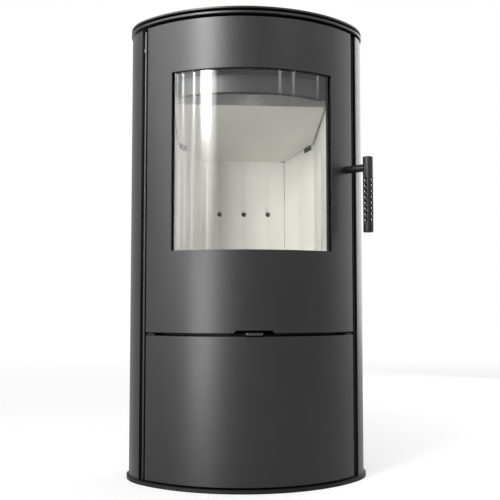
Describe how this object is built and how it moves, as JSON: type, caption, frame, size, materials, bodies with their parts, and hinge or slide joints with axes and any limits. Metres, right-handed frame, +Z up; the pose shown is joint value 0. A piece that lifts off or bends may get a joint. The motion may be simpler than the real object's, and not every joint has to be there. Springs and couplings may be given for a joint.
{
  "type": "wood stove",
  "caption": "Free-standing wood stove with an oval plan, a bowed glazed firebox door, a storage door below, an air lever and a hanging perforated handle.",
  "frame": {"origin": "centre of the base plate's footprint, at floor level", "axes": "+Z up, the doors face -Y, +X to the viewer's right"},
  "size_m": [0.4938, 0.3642, 0.971],
  "materials": {
    "painted_steel": "satin heat-resistant paint",
    "dark_steel": "matt heat-resistant paint",
    "bare_steel": "zinc-plated or bare",
    "cast_iron": "raw cast",
    "brick": "matt mineral board",
    "glass": "clear",
    "rope_seal": "woven glass-fibre rope"
  },
  "bodies": {
    "stove": {"base_plate": "painted_steel", "air_inlet_tube": "bare_steel", "side_panel_left": "painted_steel", "side_panel_right": "painted_steel", "rear_panel": "painted_steel", "panel_screws": "bare_steel", "frame_rail_left": "painted_steel", "frame_rail_right": "painted_steel", "deck_plate": "painted_steel", "top_plate": "painted_steel", "top_spacers": "dark_steel", "deck_posts": "dark_steel", "flue_spigot": "painted_steel", "firebox_shell": "dark_steel", "firebox_floor": "dark_steel", "firebox_top": "dark_steel", "firebox_front": "dark_steel", "air_wash_plate": "dark_steel", "back_brick": "brick", "corner_brick_left": "brick", "corner_brick_right": "brick", "side_brick_left": "brick", "side_brick_right": "brick", "floor_bricks": "brick", "baffle": "brick", "baffle_brackets": "dark_steel", "smoke_deflector": "dark_steel", "grate": "cast_iron", "ash_chute": "dark_steel", "air_box": "dark_steel", "jet_channel": "dark_steel", "rear_heat_shield": "bare_steel", "storage_liner": "dark_steel", "storage_ceiling": "dark_steel", "pan_runners": "dark_steel", "hinge_pins": "bare_steel", "latch_keep": "dark_steel", "lever_pivot": "bare_steel", "storage_magnet": "dark_steel"},
    "door": {"door_skin": "painted_steel", "door_inner_frame": "dark_steel", "door_gasket": "rope_seal", "door_glass": "glass", "glass_gasket": "rope_seal", "frame_bolts": "bare_steel", "door_lugs": "dark_steel", "door_stiffener": "dark_steel", "latch_bush": "bare_steel"},
    "handle": {"handle_arm": "dark_steel", "handle_grip": "dark_steel", "latch_tongue": "dark_steel"},
    "storage_door": {"storage_door_skin": "painted_steel", "storage_door_lugs": "dark_steel", "storage_stiffener": "dark_steel", "storage_strike": "bare_steel"},
    "air_lever": {"air_lever": "bare_steel", "air_knob": "bare_steel"},
    "ash_pan": {"ash_pan": "dark_steel", "pan_handle": "bare_steel"}
  },
  "joints": [
    {"name": "door_hinge", "type": "hinge", "parent": "stove", "child": "door", "pos_m": [-0.19599, -0.08308, 0.6], "axis": [0, 0, -1], "range_deg": [0, 105]},
    {"name": "handle_turn", "type": "hinge", "parent": "door", "child": "handle", "pos_m": [0.19622, -0.09778, 0.6224], "axis": [0.6983, -0.7158, 0], "range_deg": [0, 75]},
    {"name": "storage_hinge", "type": "hinge", "parent": "stove", "child": "storage_door", "pos_m": [-0.19599, -0.08308, 0.15], "axis": [0, 0, -1], "range_deg": [0, 105]},
    {"name": "air_lever_swing", "type": "hinge", "parent": "stove", "child": "air_lever", "pos_m": [0, -0.07801, 0.295], "axis": [0, 0, 1], "range_deg": [-11, 11]},
    {"name": "ash_pan_slide", "type": "slide", "parent": "stove", "child": "ash_pan", "axis": [0, -1, 0], "range_m": [0, 0.18]}
  ],
  "couplings": [
    {"joint": "ash_pan_slide", "follows": "storage_hinge", "m_per_rad": 0.0982}
  ]
}
